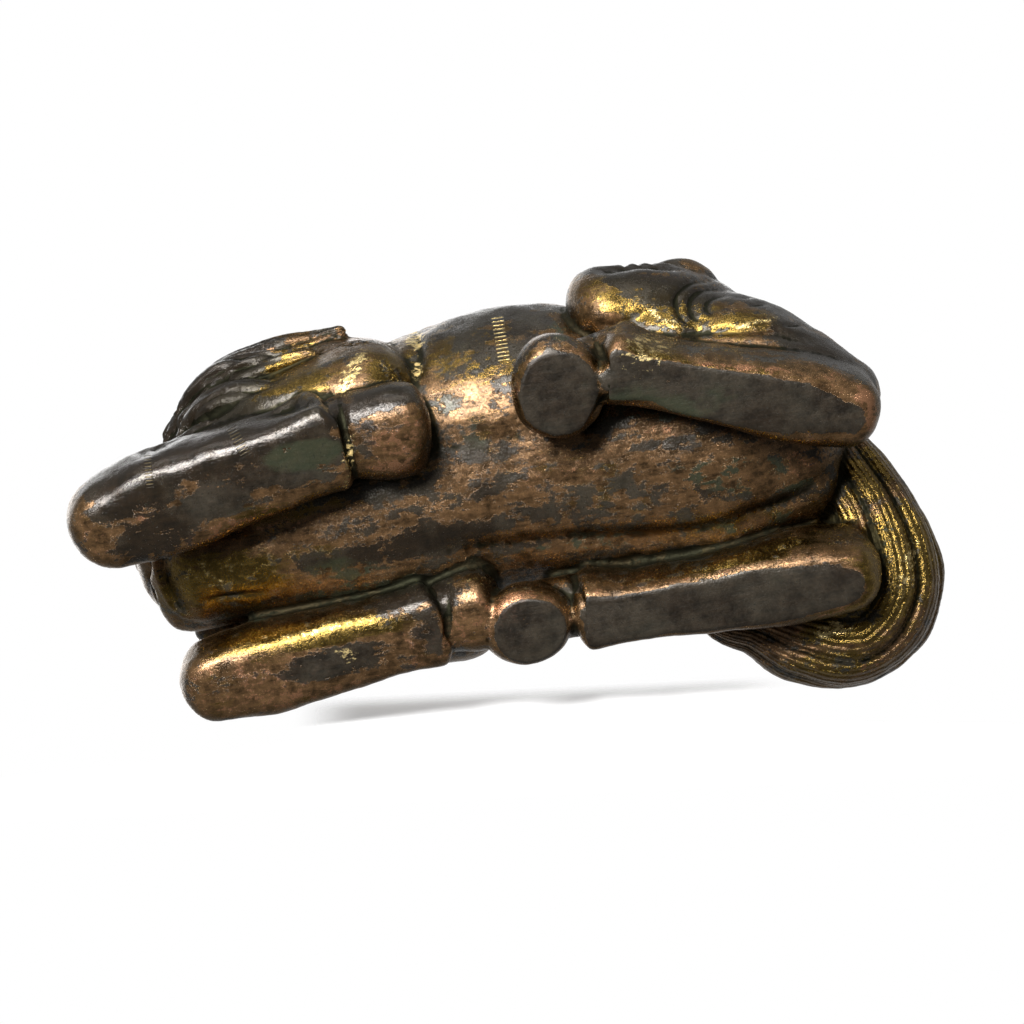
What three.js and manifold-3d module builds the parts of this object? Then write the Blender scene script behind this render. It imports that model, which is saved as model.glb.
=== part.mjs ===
import * as THREE from 'three';
import { mergeVertices } from 'three/addons/utils/BufferGeometryUtils.js';
import Module from 'manifold-3d';

const wasm = await Module();
wasm.setup();

// Small cast bronze of a mythical hoofed beast at rest, in millimetres.
// It faces -Y, its left side is +X, and its folded legs lie flat on Z = 0.

// Driving sizes: from knee to tail, across the figure, and up to the horn
const figureLength = 104;
const figureWidth = 55;
const figureHeight = 41;

// A place is given as shares of the width, the length and, where it has one, the height,
// from the middle of the belly on the surface that the legs rest on
function place([x, y, z]) {
  const plan = [x * figureWidth, y * figureLength];
  return z === undefined ? plan : [...plan, z * figureHeight];
}

// Trunk
const trunkFront = -0.288 * figureLength;
const trunkBack = 0.385 * figureLength;
const trunkHalfWidth = 0.32 * figureWidth;
const trunkHalfHeight = 0.39 * figureHeight;
const trunkHeight = 0.5 * figureHeight;
const barrelHalfWidth = 0.208 * figureWidth;
const barrelHalfHeight = 0.33 * figureHeight;
const chestFront = place([-0.087, -0.371]);
const chestHeight = 0.335 * figureHeight;
const chestHalfWidth = 0.156 * figureWidth;
const chestHalfHeight = 0.185 * figureHeight;

// Legs
const shankHalfWidth = 0.1 * figureWidth;
const shankHalfHeight = 0.149 * figureHeight;
const shankHeight = 0.112 * figureHeight;
const armHalfWidth = 0.12 * figureWidth;
const armHalfHeight = 0.205 * figureHeight;
const shoulderRadii = place([0.127, 0.091, 0.268]);
const shoulderHeight = 0.463 * figureHeight;
const foreHoofHalfWidth = 0.1 * figureWidth;
const hindHoofRadius = 0.1 * figureWidth;
const hindHoofHeight = 0.22 * figureHeight;
const footRim = 0.1 * hindHoofHeight;
const haunchRadii = place([0.171, 0.115, 0.332]);
const haunchHeight = 0.512 * figureHeight;
const gaskinHalfWidth = 0.12 * figureWidth;
const gaskinHalfHeight = 0.2 * figureHeight;
const stifleRadii = place([0.082, 0.048, 0.161]);

const leftFore = {
  side: 1, girth: 1.08, elbow: place([0.225, -0.149]),
  knee: place([0.094, -0.456]), fetlock: place([0.196, -0.2]), hoofEnd: place([0.194, -0.077]),
};
const rightFore = {
  side: -1, girth: 0.9, elbow: place([-0.3, -0.087]),
  knee: place([-0.313, -0.369]), fetlock: place([-0.258, -0.117]), hoofEnd: place([-0.236, -0.033]),
};
const leftHind = {
  side: 1, hoofSpread: 1.16, hip: place([0.185, 0.207]),
  hock: place([0.087, 0.4]), fetlock: place([0.269, 0.146]), hoof: place([0.251, 0.074]),
};
const rightHind = {
  side: -1, hoofSpread: 0.88, hip: place([-0.247, 0.183]),
  hock: place([-0.291, 0.375]), fetlock: place([-0.284, 0.075]), hoof: place([-0.28, -0.002]),
};

// Head and mane
const headCentre = place([-0.076, -0.322, 0.537]);
const headRadii = place([0.204, 0.1, 0.28]);
const muzzleReach = 0.098 * figureLength;
const muzzleHalfWidth = 0.146 * figureWidth;
const chinDrop = 0.23 * figureHeight;
const chinHalfWidth = 0.122 * figureWidth;
const eyeRadius = 0.2 * headRadii[0];
const hornLength = 0.15 * figureLength;
const hornRise = 0.23 * figureHeight;
const earLength = 0.09 * figureLength;
const locksPerSide = 6;
const lockHalfWidth = 0.065 * figureWidth;
const lockHalfHeight = 0.073 * figureHeight;
const lockLength = 0.205 * figureLength;
const lockSway = 0.13;
const maneMiddle = -0.027 * figureWidth;
const maneSpread = 0.352 * figureWidth;

// Back and tail
const backKnobs = 8;
const backKnobRadii = place([0.058, 0.0375, 0.063]);
const ridgeFront = -0.135 * figureLength;
const ridgeBack = 0.346 * figureLength;
const ridgeFall = 0.134 * figureHeight;
const tailFlutes = 7;
const tailFluteDepth = 0.13;
const tailTwist = 1.3;
const tailGirth = 0.145 * figureWidth;
const tailPath = [
  [-0.018, 0.346, 0.66], [-0.091, 0.37, 0.54], [-0.222, 0.41, 0.405], [-0.371, 0.421, 0.346],
  [-0.466, 0.381, 0.312], [-0.456, 0.313, 0.293], [-0.415, 0.252, 0.278],
];
const tailSwell = [[0.56, 0.6], [0.6, 0.68], [0.74, 0.8], [0.95, 0.95], [1, 1], [0.86, 0.9], [0.48, 0.58]];

const upward = new THREE.Vector3(0, 0, 1);
const bronze = new THREE.MeshStandardMaterial({ color: 0x4a3d2a, roughness: 0.42, metalness: 0.85 });

// A three.js geometry as a closed solid
function solid(geometry) {
  geometry.deleteAttribute('normal');
  geometry.deleteAttribute('uv');
  const merged = mergeVertices(geometry, 1e-5);
  return new wasm.Manifold(new wasm.Mesh({
    numProp: 3,
    vertProperties: new Float32Array(merged.attributes.position.array),
    triVerts: new Uint32Array(merged.index.array),
  }));
}

function join(solids) {
  return solids.reduce((whole, piece) => whole.add(piece));
}

// Sealed hollows between joined pieces are filled: the figure is cast solid
function withoutHollows(form) {
  return join(form.decompose().filter((shell) => shell.volume() > 0));
}

function egg(centre, radii, { lean = 0, around = 12, along = 8 } = {}) {
  const geometry = new THREE.SphereGeometry(1, around, along);
  geometry.scale(...radii);
  geometry.rotateX(lean);
  geometry.translate(...centre);
  return solid(geometry);
}

// A closed tube that swells and thins along a smooth path.
// A station is [x, y, z, half width, half height], and ends tell how far each end domes out.
function limb(stations, options = {}) {
  const { sides = 12, steps = 8, square = 2, ends = [1, 1], flute = () => 1, domeSteps = 2 } = options;
  const path = new THREE.CatmullRomCurve3(stations.map(([x, y, z]) => new THREE.Vector3(x, y, z)));
  const girth = new THREE.CatmullRomCurve3(stations.map(([, , , w, h]) => new THREE.Vector3(w, h, 0)));
  const rings = [];
  const addRing = (t, out, shrink) => {
    const centre = path.getPoint(t);
    const ahead = path.getTangent(t);
    const across = new THREE.Vector3().crossVectors(ahead, options.up ?? upward).normalize();
    const above = new THREE.Vector3().crossVectors(across, ahead);
    const size = girth.getPoint(t);
    centre.addScaledVector(ahead, out * Math.min(size.x, size.y));
    rings.push(Array.from({ length: sides }, (_, i) => {
      const turn = (i / sides) * Math.PI * 2;
      const bend = (value) => Math.sign(value) * Math.abs(value) ** (2 / square);
      const swell = shrink * flute(turn, t);
      return centre.clone()
        .addScaledVector(across, bend(Math.cos(turn)) * size.x * swell)
        .addScaledVector(above, bend(Math.sin(turn)) * size.y * swell);
    }));
    return centre;
  };
  const quarter = Math.PI / 2 / domeSteps;
  const firstPole = addRing(0, -ends[0], 0);
  rings.pop();
  for (let k = domeSteps - 1; k > 0; k -= 1) {
    addRing(0, -ends[0] * Math.sin(k * quarter), Math.cos(k * quarter));
  }
  for (let k = 0; k <= steps; k += 1) addRing(k / steps, 0, 1);
  for (let k = 1; k < domeSteps; k += 1) addRing(1, ends[1] * Math.sin(k * quarter), Math.cos(k * quarter));
  const lastPole = addRing(1, ends[1], 0);
  rings.pop();

  const points = [firstPole, ...rings.flat(), lastPole];
  const triangles = [];
  const at = (ring, i) => 1 + ring * sides + (i % sides);
  for (let i = 0; i < sides; i += 1) {
    triangles.push(0, at(0, i), at(0, i + 1));
    for (let ring = 0; ring < rings.length - 1; ring += 1) {
      triangles.push(at(ring, i), at(ring + 1, i), at(ring, i + 1));
      triangles.push(at(ring, i + 1), at(ring + 1, i), at(ring + 1, i + 1));
    }
    triangles.push(points.length - 1, at(rings.length - 1, i + 1), at(rings.length - 1, i));
  }
  const geometry = new THREE.BufferGeometry().setFromPoints(points);
  geometry.setIndex(triangles);
  return solid(geometry);
}

function between(from, to, share) {
  return from.map((value, i) => value + (to[i] - value) * share);
}

function trunk() {
  const reach = trunkBack - trunkFront;
  const row = (share, x, width, height) => [
    x * figureWidth, trunkFront + reach * share, trunkHeight,
    trunkHalfWidth * width, trunkHalfHeight * height,
  ];
  const body = limb([
    row(0, -0.055, 0.74, 0.9),
    row(0.2, -0.036, 0.88, 0.97),
    row(0.4, -0.027, 0.88, 0.94),
    row(0.6, -0.018, 0.96, 0.97),
    row(0.8, -0.033, 0.94, 1),
    row(0.95, -0.062, 0.62, 0.78),
  ], { sides: 16, steps: 9, square: 2.15, ends: [0.5, 0.5] });
  const flank = (x, y, girth) => [
    ...place([x, y]), trunkHeight, barrelHalfWidth * girth, barrelHalfHeight * girth,
  ];
  const barrel = limb([
    flank(0.09, -0.1, 0.96),
    flank(0.116, -0.019, 1),
    flank(0.122, 0.058, 0.98),
    flank(0.086, 0.135, 0.84),
  ], { sides: 12, steps: 5, ends: [0.9, 0.9] });
  return join([body, barrel, chest()]);
}

function chest() {
  const [x, y] = chestFront;
  return limb([
    [x * 0.42, y * 0.2, chestHeight * 1.12, chestHalfWidth, chestHalfHeight * 1.1],
    [x * 0.75, y * 0.64, chestHeight, chestHalfWidth, chestHalfHeight * 1.05],
    [x, y, chestHeight, chestHalfWidth * 0.86, chestHalfHeight],
  ], { sides: 14, steps: 7, square: 2.3, ends: [0.5, 0.62] });
}

// Shank folded back under the forearm, from the knee to the flared fetlock
function foreShank({ girth, knee, fetlock }) {
  const station = (share, lift, width, height) => [
    ...between(knee, fetlock, share), shankHeight * lift,
    shankHalfWidth * girth * width, shankHalfHeight * height,
  ];
  return limb([
    station(0, 1.13, 0.98, 0.96),
    station(0.2, 1.15, 1.1, 1.06),
    station(0.5, 1, 1.04, 1),
    station(0.8, 1, 0.96, 0.98),
    station(1, 1.2, 1.06, 1.16),
  ], { steps: 7, square: 2.5, ends: [1, 0.35] });
}

function foreHoof({ girth, fetlock, hoofEnd }) {
  const station = (share, lift, swell) => [
    ...between(fetlock, hoofEnd, share), shankHeight * lift,
    foreHoofHalfWidth * girth * swell, foreHoofHalfWidth * swell,
  ];
  return limb([
    station(0.1, 1.22, 0.82),
    station(0.4, 1.2, 0.92),
    station(0.64, 1.16, 0.99),
    station(0.84, 1.1, 0.95),
  ], { steps: 5, square: 2.3, ends: [0.6, 0.36] });
}

function foreArm({ side, knee, elbow }) {
  const station = (share, height, girth) => [
    ...between(elbow, knee, share), height * figureHeight, armHalfWidth * girth, armHalfHeight * girth,
  ];
  const [wide, long] = shoulderRadii;
  const shoulder = [elbow[0] - side * wide * 0.2, elbow[1] - long * 0.2, shoulderHeight];
  return join([
    limb([
      station(0, 0.378, 1),
      station(0.5, 0.302, 0.83),
      station(0.84, 0.21, 0.63),
      station(1, 0.15, 0.55),
    ], { sides: 10, steps: 6, square: 2.2 }),
    egg(shoulder, shoulderRadii, { lean: 0.35, around: 11, along: 7 }),
  ]);
}

function foreLeg(leg) {
  return join([foreShank(leg), foreHoof(leg), foreArm(leg)]);
}

// Hind shank from the hock forward to the fetlock
function hindShank({ hock, fetlock }) {
  const station = (share, lift, width, height) => [
    ...between(hock, fetlock, share), shankHeight * lift, shankHalfWidth * width, shankHalfHeight * height,
  ];
  return limb([
    station(0, 1.3, 0.86, 1.04),
    station(0.2, 1.17, 0.98, 1.04),
    station(0.5, 1, 0.84, 0.98),
    station(0.82, 1, 0.74, 0.98),
    station(1, 1.13, 0.86, 1.1),
  ], { steps: 7, square: 2.5, ends: [0.9, 0.5] });
}

function hindHoof({ fetlock, hoof, hoofSpread }) {
  const profile = [
    [0, 0], [hindHoofRadius - footRim, 0], [hindHoofRadius, footRim],
    [hindHoofRadius * 1.04, footRim * 2.6], [hindHoofRadius * 0.9, hindHoofHeight * 0.62],
    [hindHoofRadius * 0.62, hindHoofHeight * 0.9], [0, hindHoofHeight],
  ].map(([radius, height]) => new THREE.Vector2(radius, height));
  const geometry = new THREE.LatheGeometry(profile, 15);
  geometry.rotateX(Math.PI / 2);
  geometry.scale(hoofSpread, 1, 1);
  geometry.translate(hoof[0], hoof[1], 0);
  const pastern = limb([
    [...fetlock, shankHeight * 1.43, hindHoofRadius * 0.73, hindHoofRadius * 0.76],
    [...hoof, hindHoofHeight * 0.62, hindHoofRadius * 0.73, hindHoofRadius * 0.65],
  ], { sides: 9, steps: 3 });
  return solid(geometry).add(pastern);
}

// Haunch, the gaskin down to the hock, and the rounded stifle at the flank
function haunch({ side, hip, hock }) {
  const gaskin = (share, out, height, girth) => [
    hip[0] + (hock[0] - hip[0]) * share + side * out * figureWidth, hip[1] + (hock[1] - hip[1]) * share,
    height * figureHeight, gaskinHalfWidth * girth, gaskinHalfHeight * girth,
  ];
  const stifle = (out, back, height, width, depth) => [
    hip[0] + side * out * figureWidth, hip[1] + back * figureLength, haunchHeight + height * figureHeight,
    stifleRadii[0] * width, stifleRadii[2] * depth,
  ];
  const cap = stifle(0.093, 0.019, 0.137, 1, 1).slice(0, 3);
  return join([
    egg([...hip, haunchHeight], haunchRadii, { lean: 0.2 }),
    limb([
      gaskin(0.14, 0.036, 0.44, 1.06),
      gaskin(0.55, 0.042, 0.356, 0.96),
      gaskin(1.02, 0.004, 0.22, 0.65),
    ], { sides: 10, steps: 6, square: 2.2 }),
    limb([
      stifle(0.132, -0.062, -0.037, 1.04, 1),
      stifle(0.116, 0, -0.012, 1, 1.1),
      stifle(0.073, 0.048, 0, 0.9, 1),
    ], { sides: 12, steps: 6, ends: [1, 0.8] }),
    egg(cap, [stifleRadii[0] * 0.9, stifleRadii[1] * 1.2, stifleRadii[2] * 0.6], { around: 9, along: 6 }),
  ]);
}

function hindLeg(leg) {
  return join([hindShank(leg), hindHoof(leg), haunch(leg)]);
}

// A spot on or near the head, in head radii from its centre
function onHead(x, y, z) {
  return [x, y, z].map((share, axis) => headCentre[axis] + share * headRadii[axis]);
}

function muzzle() {
  const front = muzzleReach / headRadii[1];
  const drop = chinDrop / headRadii[2];
  const half = headRadii[2];
  return join([
    limb([
      [...onHead(0, -0.1, -0.35), muzzleHalfWidth * 1.35, half * 0.7],
      [...onHead(-0.06, -0.62 * front, -0.47), muzzleHalfWidth, half * 0.47],
      [...onHead(-0.12, -front, -0.52), muzzleHalfWidth * 0.92, half * 0.37],
    ], { sides: 10, steps: 5, square: 2.4, ends: [0.5, 0.6] }),
    limb([
      [...onHead(-0.06, 0, 0.2 - drop), chinHalfWidth * 1.3, half * 0.4],
      [...onHead(-0.22, -0.54 * front, -drop), chinHalfWidth * 1.04, half * 0.31],
      [...onHead(-0.25, -0.86 * front, -drop), chinHalfWidth * 0.92, half * 0.27],
    ], { sides: 10, steps: 5, square: 2.2, ends: [0.5, 0.85] }),
    egg(onHead(-0.09, -front - 0.06, -0.24), place([0.062, 0.023, 0.054]), { around: 10, along: 7 }),
  ]);
}

function horn() {
  const station = (share, height, girth) => [
    headCentre[0], headCentre[1] - headRadii[1] * 0.38 + share * hornLength * 1.27,
    headCentre[2] + headRadii[2] * 0.8 + height * hornRise, headRadii[0] * girth, headRadii[0] * girth,
  ];
  return limb([
    station(0, 0, 0.19),
    station(0.35, 0.52, 0.17),
    station(0.7, 0.78, 0.12),
    station(1, 1, 0.05),
  ], { sides: 8, steps: 5 });
}

function head() {
  const [rx, ry, rz] = headRadii;
  const small = { sides: 7, steps: 4 };
  const features = [
    egg(headCentre, headRadii),
    egg(onHead(0, 0.33, 0), [rx * 1.26, ry * 0.92, rz * 1.2], { around: 10, along: 6 }),
    muzzle(),
    horn(),
  ];
  for (const side of [-1, 1]) {
    const nostril = onHead(side * 0.24 - 0.09, -0.94, -0.32);
    features.push(egg(nostril, [rx * 0.17, ry * 0.2, rz * 0.14], { around: 7, along: 5 }));
    features.push(egg(onHead(side * 0.46, -0.7, 0.14), Array(3).fill(eyeRadius), { around: 8, along: 6 }));
    features.push(limb([
      [...onHead(side * 0.12, -0.86, 0.22), rx * 0.14, rz * 0.12],
      [...onHead(side * 0.44, -0.8, 0.4), rx * 0.17, rz * 0.15],
      [...onHead(side * 0.84, -0.42, 0.56), rx * 0.1, rz * 0.09],
    ], small));
    features.push(limb([
      [...onHead(side * 0.66, 0.05, 0.62), rx * 0.2, rz * 0.14],
      [...onHead(side * 0.86, earLength * 0.5 / ry, 0.8), rx * 0.22, rz * 0.13],
      [...onHead(side * 0.96, earLength / ry, 0.86), rx * 0.05, rz * 0.03],
    ], small));
  }
  return join(features);
}

// A lock swept back from the ring round the face, swaying like a flame
function lock(side, rank, length) {
  const [x, y, z] = headCentre;
  const rise = -0.5 + rank * 1.85;
  const reach = length * (1 - 0.5 * Math.abs(rank - 0.35));
  const spot = (back, spread, width, height) => {
    const turn = rise + lockSway * Math.sin(back * Math.PI * 1.6);
    return [
      x + (maneMiddle - x) * back + side * Math.cos(turn) * spread,
      y - headRadii[1] * 0.48 + back * reach,
      z + Math.sin(turn) * (headRadii[2] + (spread - headRadii[0]) * 0.45),
      lockHalfWidth * width, lockHalfHeight * height,
    ];
  };
  return limb([
    spot(0, headRadii[0], 0.8, 0.8),
    spot(0.28, maneSpread * 0.84, 1, 1),
    spot(0.65, maneSpread * 0.91, 0.96, 0.92),
    spot(1, maneSpread, 0.34, 0.32),
  ], { sides: 6, steps: 4, ends: [0.8, 1.4] });
}

function mane() {
  const locks = [];
  for (const side of [-1, 1]) {
    for (let i = 0; i < locksPerSide; i += 1) {
      locks.push(lock(side, i / (locksPerSide - 1), lockLength * (i % 2 ? 0.86 : 1)));
    }
  }
  return join(locks);
}

function backRidge() {
  const top = trunkHeight + trunkHalfHeight * 0.95;
  const knobs = [];
  for (let i = 0; i < backKnobs; i += 1) {
    const share = i / (backKnobs - 1);
    const y = ridgeFront + (ridgeBack - ridgeFront) * share;
    const centre = [-0.036 * figureWidth, y, top - ridgeFall * Math.max(0, share * 2.2 - 1.2) ** 2];
    knobs.push(egg(centre, backKnobRadii, { around: 7, along: 5 }));
  }
  return join(knobs);
}

function tail() {
  const ridge = (turn, t) => Math.abs(Math.cos((turn + t * tailTwist) * tailFlutes / 2));
  const flute = (turn, t) => 1 + tailFluteDepth * (ridge(turn, t) - 0.5);
  const stations = tailPath.map((spot, i) => {
    const [wide, high] = tailSwell[i];
    return [...place(spot), wide * tailGirth, high * tailGirth];
  });
  return limb(stations, { sides: tailFlutes * 4, steps: 11, flute, ends: [0.6, 1.6] });
}

// Everything below the surface that the figure stands on
function ground() {
  const geometry = new THREE.BoxGeometry(figureLength * 2, figureLength * 2, figureHeight);
  geometry.translate(0, 0, -figureHeight / 2);
  return solid(geometry);
}

// The origin is the middle of the overall box, on the surface that the legs rest on
function mesh(form) {
  const { vertProperties, triVerts } = form.getMesh();
  const geometry = new THREE.BufferGeometry();
  geometry.setAttribute('position', new THREE.BufferAttribute(vertProperties, 3));
  geometry.setIndex(new THREE.BufferAttribute(triVerts, 1));
  geometry.computeBoundingBox();
  const middle = geometry.boundingBox.getCenter(new THREE.Vector3());
  geometry.translate(-middle.x, -middle.y, -geometry.boundingBox.min.z);
  return geometry;
}

const cast = withoutHollows(join([
  trunk(),
  ...[leftFore, rightFore].map(foreLeg),
  ...[leftHind, rightHind].map(hindLeg),
  head(),
  mane(),
  backRidge(),
  tail(),
]).subtract(ground()));

const beast = new THREE.Mesh(mesh(cast), bronze);
beast.name = 'beast';
const figure = new THREE.Group();
figure.add(beast);

export default figure;
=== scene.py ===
import bpy
import numpy as np
from math import cos, pi, radians, sin
from mathutils import Matrix, Vector, noise


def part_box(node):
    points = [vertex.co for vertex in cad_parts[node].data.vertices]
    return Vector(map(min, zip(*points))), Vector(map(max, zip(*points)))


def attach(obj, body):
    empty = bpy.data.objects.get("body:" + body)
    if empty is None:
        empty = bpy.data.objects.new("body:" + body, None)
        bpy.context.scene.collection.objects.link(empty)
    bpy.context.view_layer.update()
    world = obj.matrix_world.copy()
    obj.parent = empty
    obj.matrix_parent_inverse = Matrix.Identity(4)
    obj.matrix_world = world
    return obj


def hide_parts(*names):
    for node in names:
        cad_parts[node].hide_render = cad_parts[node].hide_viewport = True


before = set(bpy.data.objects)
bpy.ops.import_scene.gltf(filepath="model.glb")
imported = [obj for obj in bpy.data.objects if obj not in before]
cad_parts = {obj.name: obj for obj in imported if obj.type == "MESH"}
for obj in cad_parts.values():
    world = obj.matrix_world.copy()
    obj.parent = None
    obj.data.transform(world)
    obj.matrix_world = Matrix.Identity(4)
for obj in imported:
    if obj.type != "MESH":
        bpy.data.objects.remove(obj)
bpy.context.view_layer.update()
print("frame loaded")

mm = 0.001

# The driving sizes of the figure in mm, and where its drawing puts the low corner of the box.
# The face looks to -Y, the left side is +X, and the legs rest on z = 0.
figure = {"length": 104.0, "width": 55.0, "height": 41.0, "lowX": -34.16, "lowY": -53.12}
length, width, height = figure["length"], figure["width"], figure["height"]
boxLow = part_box("beast")[0]
drawnShift = np.array([boxLow[0] / mm - figure["lowX"], boxLow[1] / mm - figure["lowY"], 0.0])


def place(x, y, z=None):
    # A place from shares of the width, the length and the height
    plan = (x * width, y * length)
    return plan if z is None else (*plan, z * height)


def newObject(name, data):
    made = bpy.data.objects.new(name, data)
    bpy.context.collection.objects.link(made)
    return made


def evaluatedMesh(holder):
    graph = bpy.context.evaluated_depsgraph_get()
    return bpy.data.meshes.new_from_object(holder.evaluated_get(graph))


# The camera looks up at the underside, as the photograph does
photoView = {"roll": 9.0, "side": 20.0, "distance": 900.0, "pixelsPerMm": 8.33, "imageSide": 1024}
rollAngle, sideAngle = radians(photoView["roll"]), radians(photoView["side"])
levelRight = np.array([0.0, 1.0, 0.0])
levelUp = np.array([cos(sideAngle), 0.0, sin(sideAngle)])
viewRight = cos(rollAngle) * levelRight - sin(rollAngle) * levelUp
viewUp = sin(rollAngle) * levelRight + cos(rollAngle) * levelUp
viewBack = np.cross(viewRight, viewUp)


def makeCamera():
    data = bpy.data.cameras.new("camera")
    data.sensor_width = 36.0
    across = photoView["imageSide"] / photoView["pixelsPerMm"]
    data.lens = data.sensor_width * photoView["distance"] / across
    data.clip_start, data.clip_end = 0.01, 20.0
    camera = newObject("camera", data)
    spot = (drawnShift + viewBack * photoView["distance"]) * mm
    turn = Matrix((viewRight, viewUp, viewBack)).transposed().to_4x4()
    camera.matrix_world = Matrix.Translation(Vector(spot)) @ turn
    bpy.context.scene.camera = camera


makeCamera()


def onView(points):
    # Places in mm to the right of and above the middle of the photograph
    flat = np.stack([points @ viewRight, points @ viewUp], 1)
    away = photoView["distance"] - points @ viewBack
    return flat * photoView["distance"] / away[:, None]


# Closed forms

def rowOf(values, shares):
    # Catmull-Rom values at shares from 0 to 1 of the whole row
    rows = np.asarray(values, float)
    spans = len(rows) - 1
    spot = np.clip(np.asarray(shares) * spans, 0, spans - 1e-9)
    base = spot.astype(int)
    part = (spot - base)[:, None]
    padded = np.vstack([2 * rows[0] - rows[1], rows, 2 * rows[-1] - rows[-2]])
    p0, p1, p2, p3 = padded[base], padded[base + 1], padded[base + 2], padded[base + 3]
    return 0.5 * (2 * p1 + (p2 - p0) * part + (2 * p0 - 5 * p1 + 4 * p2 - p3) * part**2
                  + (3 * p1 - p0 - 3 * p2 + p3) * part**3)


def framesOn(path, up=(0, 0, 1)):
    # At each spot of a path, the ways ahead, across and above
    ahead = np.gradient(path[:, :3], axis=0)
    ahead /= np.linalg.norm(ahead, axis=1, keepdims=True)
    across = np.cross(ahead, up)
    across /= np.linalg.norm(across, axis=1, keepdims=True)
    return ahead, across, np.cross(across, ahead)


shapes = []


def addShape(points, faces):
    shapes.append((np.asarray(points, float), faces))


def closedFaces(sides, rings):
    # A first point, rings of points and a last point, closed at both ends
    faces = []
    for j in range(sides):
        k = (j + 1) % sides
        faces.append((0, 1 + j, 1 + k))
        for r in range(rings - 1):
            a, b = 1 + r * sides, 1 + (r + 1) * sides
            faces.append((a + j, b + j, b + k, a + k))
        end = 1 + (rings - 1) * sides
        faces.append((1 + rings * sides, end + k, end + j))
    return faces


def limb(stations, sides=40, steps=40, square=2.0, ends=(1.0, 1.0), domeSteps=7, up=(0, 0, 1)):
    # A closed tube through stations of x, y, z, half width and half height
    shares = np.linspace(0, 1, steps + 1)
    path = rowOf(stations, shares)
    ahead, across, above = framesOn(path, up)
    turn = np.arange(sides) / sides * 2 * pi
    bend = lambda v: np.sign(v) * np.abs(v) ** (2 / square)
    ringX, ringY = bend(np.cos(turn)), bend(np.sin(turn))
    rings = []

    def ring(i, out, shrink):
        centre = path[i, :3] + ahead[i] * out * min(path[i, 3], path[i, 4])
        wide = ringX[:, None] * across[i] * path[i, 3] * shrink
        high = ringY[:, None] * above[i] * path[i, 4] * shrink
        rings.append(centre + wide + high)

    dome = [k * pi / 2 / domeSteps for k in range(1, domeSteps)]
    for angle in reversed(dome):
        ring(0, -ends[0] * sin(angle), cos(angle))
    for i in range(steps + 1):
        ring(i, 0, 1)
    for angle in dome:
        ring(steps, ends[1] * sin(angle), cos(angle))
    first = path[0, :3] - ahead[0] * ends[0] * min(path[0, 3], path[0, 4])
    last = path[-1, :3] + ahead[-1] * ends[1] * min(path[-1, 3], path[-1, 4])
    addShape(np.vstack([first, np.concatenate(rings), last]), closedFaces(sides, len(rings)))


def egg(centre, radii, lean=0.0, around=40, along=26):
    spin = np.array(Matrix.Rotation(lean, 3, "X"))
    points = [(0, 0, 1)]
    for r in range(1, along):
        low = r * pi / along
        points += [(sin(low) * cos(a), sin(low) * sin(a), cos(low)) for a in np.arange(around) * 2 * pi / around]
    points.append((0, 0, -1))
    addShape((np.array(points) * radii) @ spin.T + centre, closedFaces(around, along - 1))


def between(start, end, share):
    return [a + (b - a) * share for a, b in zip(start, end)]


# Trunk

trunk = {
    "front": -0.288 * length, "back": 0.385 * length, "halfWidth": 0.32 * width, "halfHeight": 0.39 * height,
    "height": 0.5 * height, "barrelHalf": (0.208 * width, 0.33 * height),
    "chestFront": place(-0.087, -0.371), "chestHeight": 0.335 * height, "chestHalf": (0.156 * width, 0.185 * height),
}


def makeTrunk():
    reach = trunk["back"] - trunk["front"]

    def row(share, x, wide, high):
        return (x * width, trunk["front"] + reach * share, trunk["height"],
                trunk["halfWidth"] * wide, trunk["halfHeight"] * high)

    def flank(x, y, girth):
        wide, high = trunk["barrelHalf"]
        return *place(x, y), trunk["height"], wide * girth, high * girth

    limb([row(0, -0.055, 0.74, 0.9), row(0.2, -0.036, 0.88, 0.97), row(0.4, -0.027, 0.88, 0.94),
          row(0.6, -0.018, 0.96, 0.97), row(0.8, -0.033, 0.94, 1), row(0.95, -0.062, 0.62, 0.78)],
         sides=72, steps=70, square=2.15, ends=(0.5, 0.5))
    limb([flank(0.09, -0.1, 0.96), flank(0.116, -0.019, 1), flank(0.122, 0.058, 0.98), flank(0.086, 0.135, 0.84)],
         sides=56, ends=(0.9, 0.9))
    x, y = trunk["chestFront"]
    z = trunk["chestHeight"]
    wide, high = trunk["chestHalf"]
    limb([(x * 0.42, y * 0.2, z * 1.12, wide, high * 1.1), (x * 0.75, y * 0.64, z, wide, high * 1.05),
          (x, y, z, wide * 0.86, high)], square=2.3, ends=(0.5, 0.62))


# Legs

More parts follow.
